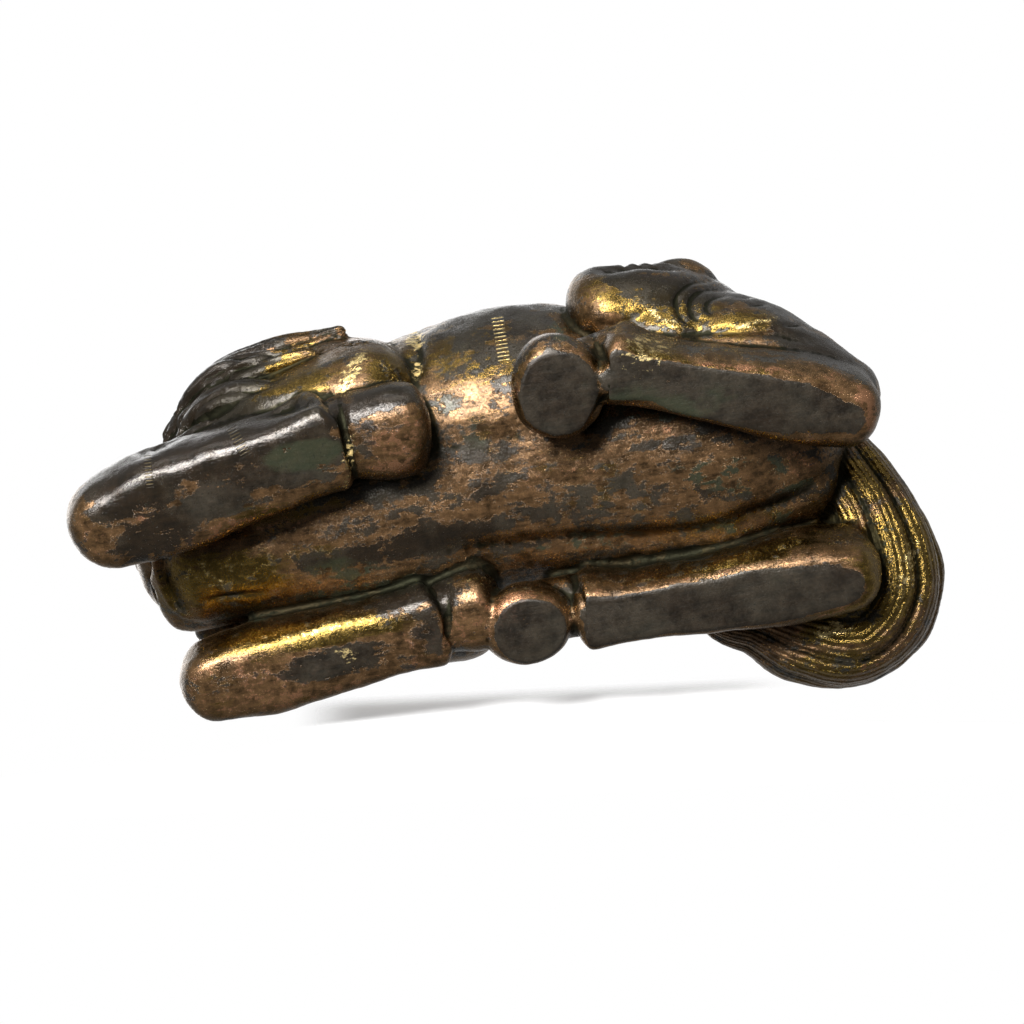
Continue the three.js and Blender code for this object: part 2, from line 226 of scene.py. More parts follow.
legs = {
    "shankHalf": (0.1 * width, 0.149 * height), "shankHeight": 0.112 * height,
    "armHalf": (0.12 * width, 0.205 * height), "shoulder": place(0.127, 0.091, 0.268),
    "shoulderHeight": 0.463 * height, "foreHoofHalf": 0.1 * width, "hindHoofRadius": 0.1 * width,
    "hindHoofHeight": 0.22 * height, "haunch": place(0.171, 0.115, 0.332), "haunchHeight": 0.512 * height,
    "gaskinHalf": (0.12 * width, 0.2 * height), "stifle": place(0.082, 0.048, 0.161),
    # Sections along each part: share of the way, then lift, width and height as shares
    "foreShank": [(0, 1.13, 0.98, 0.96), (0.2, 1.15, 1.1, 1.06), (0.5, 1, 1.04, 1), (0.8, 1, 0.96, 0.98),
                  (1, 1.2, 1.06, 1.16)],
    "foreHoof": [(0.1, 1.22, 0.82), (0.4, 1.2, 0.92), (0.64, 1.16, 0.99), (0.84, 1.1, 0.95)],
    "arm": [(0, 0.378, 1), (0.5, 0.302, 0.83), (0.84, 0.21, 0.63), (1, 0.15, 0.55)],
    "hindShank": [(0, 1.3, 0.86, 1.04), (0.2, 1.17, 0.98, 1.04), (0.5, 1, 0.84, 0.98), (0.82, 1, 0.74, 0.98),
                  (1, 1.13, 0.86, 1.1)],
    "hindHoof": [(-0.12, 0.74), (0.0, 0.86), (0.12, 0.97), (0.3, 1.04), (0.62, 0.9), (0.84, 0.62)],
}
foreLegs = [
    dict(side=1, girth=1.08, elbow=place(0.225, -0.149), knee=place(0.094, -0.456),
         fetlock=place(0.196, -0.2), hoofEnd=place(0.194, -0.077)),
    dict(side=-1, girth=0.9, elbow=place(-0.3, -0.087), knee=place(-0.313, -0.369),
         fetlock=place(-0.258, -0.117), hoofEnd=place(-0.236, -0.033)),
]
hindLegs = [
    dict(side=1, spread=1.16, hip=place(0.185, 0.207), hock=place(0.087, 0.4),
         fetlock=place(0.269, 0.146), hoof=place(0.251, 0.074)),
    dict(side=-1, spread=0.88, hip=place(-0.247, 0.183), hock=place(-0.291, 0.375),
         fetlock=place(-0.284, 0.075), hoof=place(-0.28, -0.002)),
]


def makeForeLeg(leg):
    wide, high = legs["shankHalf"]
    z, girth = legs["shankHeight"], leg["girth"]
    limb([(*between(leg["knee"], leg["fetlock"], s), z * lift, wide * girth * w, high * h)
          for s, lift, w, h in legs["foreShank"]], square=2.5, ends=(1, 0.35))
    half = legs["foreHoofHalf"]
    limb([(*between(leg["fetlock"], leg["hoofEnd"], s), z * lift, half * girth * w, half * w)
          for s, lift, w in legs["foreHoof"]], square=2.3, ends=(0.6, 0.36))
    side, knee, elbow = leg["side"], leg["knee"], leg["elbow"]
    wide, high = legs["armHalf"]
    limb([(*between(elbow, knee, s), h * height, wide * g, high * g) for s, h, g in legs["arm"]], square=2.2)
    wide, long, high = legs["shoulder"]
    egg((elbow[0] - side * wide * 0.2, elbow[1] - long * 0.2, legs["shoulderHeight"]), (wide, long, high), 0.35)


def makeHindLeg(leg):
    wide, high = legs["shankHalf"]
    z = legs["shankHeight"]
    limb([(*between(leg["hock"], leg["fetlock"], s), z * lift, wide * w, high * h)
          for s, lift, w, h in legs["hindShank"]], square=2.5, ends=(0.9, 0.5))
    x, y = leg["hoof"]
    r, h = legs["hindHoofRadius"], legs["hindHoofHeight"]
    limb([(x, y, h * lift, r * leg["spread"] * w, r * w) for lift, w in legs["hindHoof"]],
         ends=(0.06, 0.5), up=(0, 1, 0))
    limb([(*leg["fetlock"], z * 1.43, r * 0.73, r * 0.76), (*leg["hoof"], h * 0.62, r * 0.73, r * 0.65)])
    makeHaunch(leg)


def makeHaunch(leg):
    side, hip, hock = leg["side"], leg["hip"], leg["hock"]
    wide, high = legs["gaskinHalf"]

    def gaskin(share, out, lift, girth):
        return (hip[0] + (hock[0] - hip[0]) * share + side * out * width, hip[1] + (hock[1] - hip[1]) * share,
                lift * height, wide * girth, high * girth)

    def stifle(out, back, lift, w, h):
        return (hip[0] + side * out * width, hip[1] + back * length, legs["haunchHeight"] + lift * height,
                legs["stifle"][0] * w, legs["stifle"][2] * h)

    egg((*hip, legs["haunchHeight"]), legs["haunch"], 0.2)
    limb([gaskin(0.14, 0.036, 0.44, 1.06), gaskin(0.55, 0.042, 0.356, 0.96), gaskin(1.02, 0.004, 0.22, 0.65)],
         square=2.2)
    limb([stifle(0.132, -0.062, -0.037, 1.04, 1), stifle(0.116, 0, -0.012, 1, 1.1), stifle(0.073, 0.048, 0, 0.9, 1)],
         ends=(1, 0.8))
    a, b, c = legs["stifle"]
    egg(stifle(0.093, 0.019, 0.137, 1, 1)[:3], (a * 0.9, b * 1.2, c * 0.6))


# Head and mane

head = {
    "centre": place(-0.076, -0.322, 0.537), "radii": place(0.204, 0.1, 0.28), "muzzleReach": 0.098 * length,
    "muzzleHalf": 0.146 * width, "chinDrop": 0.23 * height, "chinHalf": 0.122 * width,
    "eye": 0.2, "horn": 0.15 * length, "hornRise": 0.23 * height, "ear": 0.09 * length,
    "lidLifts": (-0.12, 0.42), "lidShares": (0, 0.33, 0.66, 1),
    "hornRows": [(0, 0, 0.19), (0.35, 0.52, 0.17), (0.7, 0.78, 0.12), (1, 1, 0.05)],  # out, rise, girth
}
mane = {
    "perSide": 6, "lockHalf": (0.065 * width, 0.073 * height), "length": 0.205 * length, "sway": 0.13,
    "middle": -0.027 * width, "spread": 0.352 * width, "seamDepth": 0.3, "hairs": 1.6, "inFrontOf": -8, "above": 8,
}
lockPaths = []


def onHead(x, y, z):
    # A spot on or near the head, in head radii from its centre
    return [c + share * r for c, share, r in zip(head["centre"], (x, y, z), head["radii"])]


def eyelid(side, lift, share):
    return onHead(side * 0.2 + share * 0.52 * side, -0.86 + share * 0.2,
                  lift * 0.5 + 0.08 + sin(share * pi) * (lift - 0.1))


def makeHead():
    rx, ry, rz = head["radii"]
    front, drop = head["muzzleReach"] / ry, head["chinDrop"] / rz
    half, chin = head["muzzleHalf"], head["chinHalf"]
    egg(head["centre"], head["radii"])
    egg(onHead(0, 0.33, 0), (rx * 1.26, ry * 0.92, rz * 1.2))
    limb([(*onHead(0, -0.1, -0.35), half * 1.35, rz * 0.7), (*onHead(-0.06, -0.62 * front, -0.47), half, rz * 0.47),
          (*onHead(-0.12, -front, -0.52), half * 0.92, rz * 0.37)], square=2.4, ends=(0.5, 0.6))
    limb([(*onHead(-0.06, 0, 0.2 - drop), chin * 1.3, rz * 0.4),
          (*onHead(-0.22, -0.54 * front, -drop), chin * 1.04, rz * 0.31),
          (*onHead(-0.25, -0.86 * front, -drop), chin * 0.92, rz * 0.27)], square=2.2, ends=(0.5, 0.85))
    egg(onHead(-0.09, -front - 0.06, -0.24), place(0.062, 0.023, 0.054))
    for side in (-1, 1):
        egg(onHead(side * 0.24 - 0.09, -0.94, -0.32), (rx * 0.17, ry * 0.2, rz * 0.14))
        egg(onHead(side * 0.46, -0.72, 0.14), (rx * head["eye"],) * 3)
        for lift in head["lidLifts"]:
            limb([(*eyelid(side, lift, share), rx * 0.06, rz * 0.05) for share in head["lidShares"]], sides=16)
        limb([(*onHead(side * 0.12, -0.86, 0.22), rx * 0.14, rz * 0.12),
              (*onHead(side * 0.44, -0.8, 0.4), rx * 0.17, rz * 0.15),
              (*onHead(side * 0.84, -0.42, 0.56), rx * 0.1, rz * 0.09)])
        limb([(*onHead(side * 0.66, 0.05, 0.62), rx * 0.2, rz * 0.14),
              (*onHead(side * 0.86, head["ear"] * 0.5 / ry, 0.8), rx * 0.22, rz * 0.13),
              (*onHead(side * 0.96, head["ear"] / ry, 0.86), rx * 0.05, rz * 0.03)])
    x, y, z = head["centre"]
    limb([(x, y - ry * 0.38 + s * head["horn"] * 1.27, z + rz * 0.8 + h * head["hornRise"], rx * g, rx * g)
          for s, h, g in head["hornRows"]])


def makeLock(side, rank, long):
    x, y, z = head["centre"]
    rx, ry, rz = head["radii"]
    wide, high = mane["lockHalf"]
    rise = -0.5 + rank * 1.85
    reach = long * (1 - 0.5 * abs(rank - 0.35))

    def spot(back, spread, w, h):
        turn = rise + mane["sway"] * sin(back * pi * 1.6)
        return (x + (mane["middle"] - x) * back + side * cos(turn) * spread, y - ry * 0.48 + back * reach,
                z + sin(turn) * (rz + (spread - rx) * 0.45), wide * w, high * h)

    spread = mane["spread"]
    lock = [spot(0, rx, 0.8, 0.8), spot(0.28, spread * 0.84, 1, 1), spot(0.65, spread * 0.91, 0.96, 0.92),
            spot(1, spread, 0.34, 0.32)]
    lockPaths.append(lock)
    limb(lock, ends=(0.8, 1.4))


def makeMane():
    for side in (-1, 1):
        for i in range(mane["perSide"]):
            makeLock(side, i / (mane["perSide"] - 1), mane["length"] * (0.86 if i % 2 else 1))


# Tail

tail = {
    "girth": 0.145 * width, "flutes": 9, "fluteDepth": 0.85, "hairs": 54, "twist": 1.3, "rightOf": 4, "behind": 17,
    "path": [(-0.018, 0.346, 0.66), (-0.091, 0.37, 0.54), (-0.222, 0.41, 0.405), (-0.371, 0.421, 0.346),
             (-0.466, 0.381, 0.312), (-0.456, 0.313, 0.293), (-0.415, 0.252, 0.278)],
    "swell": [(0.56, 0.6), (0.6, 0.68), (0.74, 0.8), (0.95, 0.95), (1, 1), (0.86, 0.9), (0.48, 0.58)],
}
tailStations = [(*place(*spot), w * tail["girth"], h * tail["girth"])
                for spot, (w, h) in zip(tail["path"], tail["swell"])]


def makeTail():
    limb(tailStations, sides=80, steps=80, ends=(0.6, 1.6))


# Nodes written as sums, for materials, the world and node groups

class Value:
    # One number, worked out by nodes
    def __init__(self, tree, socket):
        self.tree, self.socket = tree, socket

    def __add__(self, other):
        return self.tree.maths("ADD", self, other)

    def __sub__(self, other):
        return self.tree.maths("SUBTRACT", self, other)

    def __rsub__(self, other):
        return self.tree.maths("SUBTRACT", other, self)

    def __mul__(self, other):
        return self.tree.maths("MULTIPLY", self, other)

    __radd__, __rmul__ = __add__, __mul__

    def clamped(self):
        return self.tree.maths("ADD", self, 0, clamp=True)

    def size(self):
        return self.tree.maths("ABSOLUTE", self)

    def wave(self):
        # From -1 to 1, with a crest at each whole number
        return self.tree.maths("COSINE", self * (2 * pi))

    def step(self, low, high):
        # 0 below low, 1 above high, and a soft rise between
        return self.tree.value(self.tree.add("ShaderNodeMapRange", {"interpolation_type": "SMOOTHSTEP"},
                                             {"Value": self, "From Min": low, "From Max": high}))


class Tree:
    def __init__(self, nodeTree):
        self.nodes, self.links = nodeTree.nodes, nodeTree.links

    def add(self, kind, settings=None, inputs=None):
        node = self.nodes.new(kind)
        for name, value in (settings or {}).items():
            if name == "stops":
                self.setStops(node.color_ramp.elements, value)
            else:
                setattr(node, name, value)
        self.fill(node, inputs or {})
        return node

    def setStops(self, elements, stops):
        elements[0].position, elements[1].position = stops[0][0], stops[-1][0]
        for spot, _ in stops[1:-1]:
            elements.new(spot)
        for element, (_, colour) in zip(elements, stops):
            element.color = colour

    def fill(self, node, inputs):
        for name, value in inputs.items():
            self.put(node.inputs[name], value)

    def put(self, socket, value):
        if isinstance(value, Value):
            value = value.socket
        if isinstance(value, bpy.types.NodeSocket):
            self.links.new(value, socket)
        else:
            socket.default_value = value

    def value(self, node, output=0):
        return Value(self, node.outputs[output])

    def maths(self, operation, *inputs, clamp=False):
        settings = {"operation": operation, "use_clamp": clamp}
        return self.value(self.add("ShaderNodeMath", settings, dict(enumerate(inputs))))

    def field(self, name):
        return self.value(self.add("ShaderNodeAttribute", {"attribute_name": name}), "Fac")

    def vector(self, operation, *inputs):
        return self.add("ShaderNodeVectorMath", {"operation": operation}, dict(enumerate(inputs)))

    def dot(self, spot, direction):
        return self.value(self.vector("DOT_PRODUCT", spot, tuple(direction)), "Value")

    def spotFrom(self, middle):
        # Object coordinates in mm from a middle
        spot = self.vector("MULTIPLY", self.add("ShaderNodeTexCoord").outputs["Object"], (1 / mm,) * 3).outputs[0]
        return self.vector("SUBTRACT", spot, tuple(middle)).outputs[0]

    def noise(self, spot, scale, detail, rough, stretch, shift):
        moved = self.vector("MULTIPLY_ADD", spot, tuple(scale * s for s in stretch), (shift, shift * 0.7, -shift))
        return self.value(self.add("ShaderNodeTexNoise", None, {
            "Vector": moved.outputs[0], "Scale": 1.0, "Detail": detail, "Roughness": rough}))

    def mix(self, share, first, second):
        first, second = (c if isinstance(c, bpy.types.NodeSocket) else (*c, 1) for c in (first, second))
        return self.add("ShaderNodeMix", {"data_type": "RGBA"}, {"Factor": share, 6: first, 7: second}).outputs[2]


def newMaterial(name):
    # A material, its tree and its shader
    material = bpy.data.materials.new(name)
    material.use_nodes = True
    tree = Tree(material.node_tree)
    return material, tree, tree.nodes["Principled BSDF"]


# Knobs along the spine, set out by a node tree on the line of the back

spine = {"count": 8, "radii": place(0.058, 0.0375, 0.063), "front": -0.135 * length, "back": 0.346 * length,
         "fall": 0.134 * height, "x": -0.036 * width, "sink": 0.95, "sides": 24, "rings": 16}


def spineTree():
    group = bpy.data.node_groups.new("spineKnobs", "GeometryNodeTree")
    for name, kind in [("Geometry", "Geometry"), ("Count", "Int"), ("Size", "Vector"), ("Material", "Material")]:
        group.interface.new_socket(name, in_out="INPUT", socket_type="NodeSocket" + kind)
    group.interface.new_socket("Geometry", in_out="OUTPUT", socket_type="NodeSocketGeometry")
    tree = Tree(group)
    given = tree.add("NodeGroupInput").outputs
    line = tree.add("GeometryNodeMeshToCurve", None, {"Mesh": given["Geometry"]})
    spread = tree.add("GeometryNodeResampleCurve", None, {"Curve": line.outputs[0], "Count": given["Count"]})
    ball = tree.add("GeometryNodeMeshUVSphere", None, {"Segments": spine["sides"], "Rings": spine["rings"]})
    knobs = tree.add("GeometryNodeInstanceOnPoints", None, {
        "Points": spread.outputs[0], "Instance": ball.outputs[0], "Scale": given["Size"]})
    solid = tree.add("GeometryNodeRealizeInstances", None, {"Geometry": knobs.outputs[0]})
    painted = tree.add("GeometryNodeSetMaterial", None, {"Geometry": solid.outputs[0], "Material": given["Material"]})
    tree.add("NodeGroupOutput", None, {"Geometry": painted.outputs[0]})
    return group


def makeSpine(material):
    line = bpy.data.meshes.new("spineLine")
    top = trunk["height"] + trunk["halfHeight"] * spine["sink"]
    reach = spine["back"] - spine["front"]
    points = [(spine["x"], spine["front"] + s * reach, top - spine["fall"] * max(0, s * 2.2 - 1.2) ** 2)
              for s in np.linspace(0, 1, 40)]
    line.from_pydata(points, [(i, i + 1) for i in range(len(points) - 1)], [])
    holder = newObject("spineLine", line)
    knobs = holder.modifiers.new("knobs", "NODES")
    knobs.node_group = spineTree()
    values = {"Count": spine["count"], "Size": spine["radii"], "Material": material}
    for item in knobs.node_group.interface.items_tree:
        if item.in_out == "INPUT" and item.name in values:
            knobs[item.identifier] = values[item.name]
    made = evaluatedMesh(holder)
    addShape([v.co for v in made.vertices], [tuple(p.vertices) for p in made.polygons])
    bpy.data.objects.remove(holder)
    bpy.data.meshes.remove(made)


# The casting: the forms fused, softened and carved

casting = {
    "cell": 0.36, "quickCell": 0.7, "triangles": 190000,
    "blendRounds": 7, "meltRounds": 120, "creaseRounds": 14, "creaseGain": 0.9,
    "foreRim": 2.6, "hindRim": 0.8, "rimTurn": (-8.0, 0.0),
    "dentSize": 7.0, "dentDepth": 0.3, "grainSize": 1.6, "grainDepth": 0.05,
}


def fused(cell):
    mesh = bpy.data.meshes.new("forms")
    points, faces, start = [], [], 0
    for shapePoints, shapeFaces in shapes:
        points.append(shapePoints)
        faces += [tuple(start + i for i in face) for face in shapeFaces]
        start += len(shapePoints)
    mesh.from_pydata(np.concatenate(points), [], faces)
    holder = newObject("forms", mesh)
    remesh = holder.modifiers.new("fuse", "REMESH")
    remesh.mode = "VOXEL"
    remesh.voxel_size = cell
    made = evaluatedMesh(holder)
    bpy.data.objects.remove(holder)
    return made


def readRows(items, key, wide, kind=np.float32):
    rows = np.empty(len(items) * wide, kind)
    items.foreach_get(key, rows)
    return rows.reshape(-1, wide)


def readPoints(mesh):
    return readRows(mesh.vertices, "co", 3).astype(float)


def writePoints(mesh, points):
    mesh.vertices.foreach_set("co", points.astype(np.float32).ravel())
    mesh.update()


def readNormals(mesh):
    return readRows(mesh.vertex_normals, "vector", 3).astype(float)


def readEdges(mesh):
    return readRows(mesh.edges, "vertices", 2, np.int32)


def softened(points, edges, rounds, strength=0.5, back=0.0):
    a, b = edges.T
    count = len(points)
    degree = np.bincount(np.concatenate([a, b]), minlength=count)
    for _ in range(rounds):
        for step in (strength, -back):
            if step:
                mean = np.stack([(np.bincount(a, column[b], count) + np.bincount(b, column[a], count)) / degree
                                 for column in points.T], 1)
                points = points + step * (mean - points)
    return points


def flattened(points):
    # What would reach below the resting plane is worn to a flat with a rounded rim
    r = casting["foreRim"] + (casting["hindRim"] - casting["foreRim"]) * smooth(*casting["rimTurn"], points[:, 1])
    z = points[:, 2]
    worn = np.where(z < -r, 0, np.where(z < r, (z + r) ** 2 / (4 * r), z))
    return np.column_stack([points[:, :2], worn])


def alongPath(points, stations, samples=90):
    # For each point, how far along the path it lies, its turn round it, and its distance in radii
    path = rowOf(stations, np.linspace(0, 1, samples))
    ahead, across, above = framesOn(path)
    nearest = np.zeros(len(points), int)
    best = np.full(len(points), 1e9)
    for i in range(samples):
        gap = ((points - path[i, :3]) ** 2).sum(1)
        closer = gap < best
        best[closer] = gap[closer]
        nearest[closer] = i
    off = points - path[nearest, :3]
    x = (off * across[nearest]).sum(1)
    y = (off * above[nearest]).sum(1)
    reach = np.hypot(x / path[nearest, 3], y / path[nearest, 4])
    gap = np.linalg.norm(path[1, :3] - path[0, :3]) + 1e-9
    part = np.clip(nearest + (off * ahead[nearest]).sum(1) / gap, 0, samples - 1)
    return part / (samples - 1), np.arctan2(y, x), reach


def smooth(low, high, values):
    share = np.clip((values - low) / (high - low), 0, 1)
    return share * share * (3 - 2 * share)


def tailStrands(points):
    # The phase of the hairs on the tail, how far they show, and how deep its flutes are
    near = (points[:, 0] < tail["rightOf"]) & (points[:, 1] > tail["behind"])
    phase, shown, flute = np.zeros((3, len(points)))
    share, turn, reach = alongPath(points[near], tailStations)
    on = smooth(1.3, 1.12, reach) * smooth(0.0, 0.1, share)
    twist = turn + share * tail["twist"]
    phase[near] = twist * tail["hairs"] / (2 * pi)
    shown[near] = on
    wave = np.abs(np.cos(twist * tail["flutes"] / 2))
    flute[near] = on * (1 - wave) ** 1.6 * (1 - 0.6 * smooth(0.45, 0.75, share))
    return phase, shown, flute


def maneStrands(points):
    # The same for the locks of the mane, each point taken with its nearest lock
    near = (points[:, 1] < mane["inFrontOf"]) & (points[:, 2] > mane["above"])
    phase, shown, seam = np.zeros((3, len(points)))
    best = np.full(near.sum(), 1e9)
    turns, shares = np.zeros((2, near.sum()))
    for lock in lockPaths:
        share, turn, reach = alongPath(points[near], lock, 40)
        closer = reach < best
        best[closer], turns[closer], shares[closer] = reach[closer], turn[closer], share[closer]
    on = smooth(1.35, 1.1, best) * smooth(0.0, 0.12, shares)
    phase[near] = turns * mane["hairs"] + shares * 0.6
    shown[near] = on
    seam[near] = on * (1 - np.abs(np.cos(turns * mane["hairs"] * pi + shares * 2))) ** 2
    return phase, shown, seam


# Grooves cut into the side that the camera sees: places right of and above the middle of the view
# in mm, then half width and depth; a depth below zero raises a ridge

grooves = {
    "thighSlit": ([(10.3, 29.3), (15.4, 30), (21.4, 29.5)], 0.6, 0.9),
    "outerCurl": ([(24.4, 28), (21.4, 27.5), (19.7, 25.7), (20.4, 23.3), (23.5, 22.1)], 0.4, 0.45),
    "middleCurl": ([(25.2, 27), (22.9, 26.7), (21.4, 25.5), (21.8, 23.5), (24, 22.8)], 0.4, 0.45),
    "innerCurl": ([(25.8, 26), (24, 25.7), (23.2, 24.7), (24, 23.7)], 0.35, 0.4),
    "gaskinStrokeOne": ([(26.8, 25.6), (28.8, 25.8)], 0.22, 0.25),
    "gaskinStrokeTwo": ([(28.3, 24.7), (30.7, 25)], 0.22, 0.25),
    "gaskinStrokeThree": ([(32.5, 22.4), (34.8, 22.6)], 0.22, 0.25),
    "underThigh": ([(9.4, 22.4), (20.2, 21.6), (29.8, 21.8), (35.8, 20.6)], 0.7, 0.6),
    "hindFetlock": ([(9.4, 21.8), (11.4, 17), (10.8, 12.8), (8.8, 9.6)], 0.5, 0.8),
    "shoulderFold": ([(-11.4, 21.6), (-11.2, 18.8), (-11.4, 15.8)], 0.8, 0.6),
    "foreFetlock": ([(-20.8, 13.6), (-19.8, 8.6), (-18.8, 4.6)], 0.45, 0.6),
    "foreFetlockRim": ([(-21.8, 13.2), (-20.9, 8.6), (-19.9, 4.4)], 0.5, -0.3),
    "armCrease": ([(-44.5, 7.6), (-38.5, 10.6), (-31.5, 12.4), (-25.5, 13.4), (-20.6, 14.4)], 0.9, 1.1),
    "maneLineBetween": ([(-43.5, 9.6), (-39, 13.8), (-32.6, 17.6), (-24.2, 21)], 0.3, 0.35),
    "lowerManeLine": ([(-45.3, 7.8), (-40.5, 12.2), (-33.9, 16.4), (-25.5, 20.6)], 0.5, 0.6),
    "upperManeLine": ([(-41.7, 11), (-37.5, 15.2), (-31.5, 19.2), (-23, 21.6)], 0.45, 0.5),
    "chestRim": ([(-43.5, -4.6), (-40.5, -11.2), (-36.3, -13)], 0.5, -0.5),
    "chestStroke": ([(-36.9, -10.8), (-33, -10), (-29.4, -9.6)], 0.35, 0.4),
    "shankRidge": ([(21.4, -7.2), (27.4, -5.2), (34.6, -2.8), (41.8, -1.6)], 0.7, -0.4),
    "bellyFold": ([(-7.4, -4.8), (5.8, -3.4), (23.8, -2.2), (32.8, 0.8)], 1.0, 0.6),
    "flankFold": ([(26.4, -0.6), (34, 1.6), (38.4, 5)], 0.8, 0.5),
    "upperBellyFold": ([(12.6, 12.6), (20.4, 13), (29, 11.4), (38, 8.4)], 0.8, 0.6),
    "foreHoofRim": ([(-11.4, 13.6), (-9.6, 7.2)], 0.5, -0.3),
    "lowFetlock": ([(-7.8, -10.2), (-7.6, -13.4), (-8.2, -17)], 0.45, 0.6),
    "lowHindFetlock": ([(7, -7), (8.2, -10.6), (8.6, -15.6)], 0.5, 0.8),
}


def cutDepth(seen, facing, lines):
    depth = np.zeros(len(seen))
    for route, half, deep in lines:
        line = rowOf(route, np.linspace(0, 1, 24))
        near = (facing > 0.03) & (seen > line.min(0) - 3 * half).all(1) & (seen < line.max(0) + 3 * half).all(1)
        gap = np.full(near.sum(), 1e9)
        taper = np.ones(near.sum())
        for i, (start, end) in enumerate(zip(line[:-1], line[1:])):
            off, run = seen[near] - start, end - start
            share = np.clip(off @ run / (run @ run), 0, 1)
            far = ((off - share[:, None] * run) ** 2).sum(1)
            closer = far < gap
            gap[closer] = far[closer]
            taper[closer] = sin(pi * (i + 0.5) / (len(line) - 1)) ** 0.4
        depth[near] += deep * taper * np.exp(-gap / half**2)
    return depth * smooth(0.03, 0.25, facing)


# Curls on the flanks, as arcs: middle along and up in shares of the length and the height,
# radius in mm, first and last angle in degrees

flankCurls = {
    "arcs": [(0.225, 0.62, 2.2, 20, 300), (0.225, 0.62, 3.9, 60, 330), (0.225, 0.62, 5.6, 100, 350),
             (-0.1, 0.56, 2.2, 200, 480), (-0.1, 0.56, 3.9, 230, 500), (-0.1, 0.56, 5.6, 250, 420)],
    "half": 0.42, "deep": 0.36,
}


def flankLines():
    lines = []
    for y, z, radius, first, last in flankCurls["arcs"]:
        turns = np.radians(np.linspace(first, last, 9))
        route = [(y * length + radius * cos(a), z * height + radius * sin(a)) for a in turns]
        lines.append((route, flankCurls["half"], flankCurls["deep"]))
    return lines


# Lines of the face in the plane across the front, in head radii from the head's centre,
# with half width and depth in mm: mouth, nostrils, brow furrows and cheeks

faceLines = [
    ([(-0.62, -0.78), (-0.3, -0.92), (-0.12, -0.86), (0.06, -0.92), (0.38, -0.78)], 0.45, 0.8),
    ([(-0.4, -0.36), (-0.33, -0.3), (-0.26, -0.36)], 0.5, 0.8),
    ([(0.08, -0.36), (0.15, -0.3), (0.22, -0.36)], 0.5, 0.8),
    ([(-0.16, 0.36), (-0.12, 0.62), (-0.06, 0.8)], 0.35, 0.4), ([(0.08, 0.36), (0.06, 0.62), (0.02, 0.8)], 0.35, 0.4),
    ([(-0.72, -0.2), (-0.5, -0.42), (-0.36, -0.6)], 0.4, 0.4), ([(0.6, -0.2), (0.4, -0.42), (0.26, -0.6)], 0.4, 0.4),
]


def carvings(points, normals):
    # Grooves on the seen side, curls on the flanks out of its view, and the lines of the face
    facing = normals @ viewBack
    depth = cutDepth(onView(points), facing, grooves.values())
    for side in (-1, 1):
        out = np.where(facing < 0.1, normals[:, 0] * side - 0.25, 0)
        depth += cutDepth(points[:, 1:], out, flankLines())
    ahead = np.where(points[:, 1] < head["centre"][1], -normals[:, 1], 0)
    front = (points[:, ::2] - head["centre"][::2]) / head["radii"][::2]
    wide = head["radii"][0]
    lines = [(np.array(route) * wide, half, deep) for route, half, deep in faceLines]
    return depth + cutDepth(front * wide, ahead, lines)


# Places on the seen side where one form runs smoothly into the next: right, up, radii, turn, share

melted = [(-1, 5.5, 13, 4.5, 8, 1), (-33, -9, 8, 5, 5, 0.5), (34, 23, 8, 3, -25, 0.6)]


def dents(points):
    # The slight unevenness that casting and handling leave
    low = [noise.fractal(spot, 1.0, 2.0, 2) for spot in (points / casting["dentSize"]).tolist()]
    fine = [noise.fractal(spot, 0.8, 2.0, 3) for spot in (points / casting["grainSize"]).tolist()]
    return casting["dentDepth"] * np.array(low) + casting["grainDepth"] * np.array(fine)


def makeMesh():
    # Fused, evened out, melted where forms run together, creases deepened, then carved
    cell = casting["cell"]
    mesh = fused(cell)
    print("forms fused:", len(mesh.polygons), "faces")
    points, edges = readPoints(mesh), readEdges(mesh)
    rounds = round(casting["blendRounds"] * (casting["cell"] / cell) ** 2)
    points = softened(points, edges, rounds, 0.5, 0.5)
    points = softened(points, edges, 2, 0.5)
    writePoints(mesh, points)
    share = patchField(melted, points, readNormals(mesh) @ viewBack)[:, None]
    points = points + share * (softened(points, edges, casting["meltRounds"]) - points)
    writePoints(mesh, points)
    normals = readNormals(mesh)
    inward = np.minimum(((points - softened(points, edges, casting["creaseRounds"])) * normals).sum(1), 0)
    points = softened(points + normals * (casting["creaseGain"] * inward)[:, None], edges, 1)
    writePoints(mesh, points)
    normals = readNormals(mesh)
    flute, seam = tailStrands(points)[2], maneStrands(points)[2]
    depth = tail["fluteDepth"] * flute + mane["seamDepth"] * seam + dents(points) + carvings(points, normals)
    points = flattened(points - normals * depth[:, None])
    writePoints(mesh, (points + drawnShift) * mm)
    mesh.shade_smooth()
    return mesh


def thinned(piece):
    triangles = sum(len(p.vertices) - 2 for p in piece.data.polygons)
    if triangles > casting["triangles"]:
        thin = piece.modifiers.new("thin", "DECIMATE")
        thin.ratio = casting["triangles"] / triangles
        piece.data = evaluatedMesh(piece)
        piece.modifiers.remove(thin)
